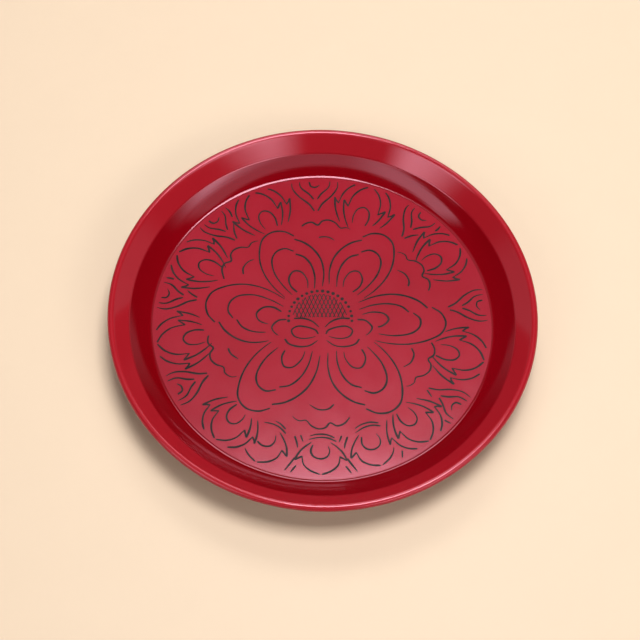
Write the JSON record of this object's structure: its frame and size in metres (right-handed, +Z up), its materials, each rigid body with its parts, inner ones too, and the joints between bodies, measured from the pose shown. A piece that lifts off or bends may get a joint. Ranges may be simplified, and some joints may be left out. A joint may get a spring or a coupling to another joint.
{
  "type": "round lacquered wooden tray",
  "caption": "Shallow round wooden tray with a flared rim, red lacquer and a flower carved into the panel and filled with black.",
  "frame": {"origin": "centre of the foot ring's underside, on the surface that the tray stands on", "axes": "+Z up along the turning axis; +Y towards the top of the carved flower; +X to its right"},
  "size_m": [0.24, 0.24, 0.0242],
  "materials": {
    "wood": "bare turned wood",
    "panel_lacquer": "polished red lacquer",
    "rim_lacquer": "mirror-polished deep red lacquer",
    "back_lacquer": "satin deep red lacquer",
    "black_fill": "matte black lacquer filling"
  },
  "bodies": {
    "root": {"back_coat": "back_lacquer", "back_petal_north_arc": "black_fill", "back_petal_north_east_arc": "black_fill", "back_petal_north_east_edge": "black_fill", "back_petal_north_edge": "black_fill", "back_petal_north_west_arc": "black_fill", "back_petal_north_west_edge": "black_fill", "back_petal_south_arc": "black_fill", "back_petal_south_east_arc": "black_fill", "back_petal_south_east_edge": "black_fill", "back_petal_south_edge": "black_fill", "back_petal_south_west_arc": "black_fill", "back_petal_south_west_edge": "black_fill", "bud_east_bottom": "black_fill", "bud_east_lobe": "black_fill", "bud_east_loop": "black_fill", "bud_east_top": "black_fill", "bud_west_bottom": "black_fill", "bud_west_lobe": "black_fill", "bud_west_loop": "black_fill", "bud_west_top": "black_fill", "core_hatch": "black_fill", "panel_coat": "panel_lacquer", "petal_east_drop": "black_fill", "petal_east_middle_long": "black_fill", "petal_east_middle_short": "black_fill", "petal_east_outer_long": "black_fill", "petal_east_outer_short": "black_fill", "petal_north_east_drop": "black_fill", "petal_north_east_middle_long": "black_fill", "petal_north_east_middle_short": "black_fill", "petal_north_east_outer_long": "black_fill", "petal_north_east_outer_short": "black_fill", "petal_north_west_drop": "black_fill", "petal_north_west_middle_long": "black_fill", "petal_north_west_middle_short": "black_fill", "petal_north_west_outer_long": "black_fill", "petal_north_west_outer_short": "black_fill", "petal_south_east_drop": "black_fill", "petal_south_east_middle_long": "black_fill", "petal_south_east_middle_short": "black_fill", "petal_south_east_outer_long": "black_fill", "petal_south_east_outer_short": "black_fill", "petal_south_west_drop": "black_fill", "petal_south_west_middle_long": "black_fill", "petal_south_west_middle_short": "black_fill", "petal_south_west_outer_long": "black_fill", "petal_south_west_outer_short": "black_fill", "petal_west_drop": "black_fill", "petal_west_middle_long": "black_fill", "petal_west_middle_short": "black_fill", "petal_west_outer_long": "black_fill", "petal_west_outer_short": "black_fill", "recess_coat": "back_lacquer", "rim_coat": "rim_lacquer", "wood_core": "wood"}
  },
  "joints": []
}
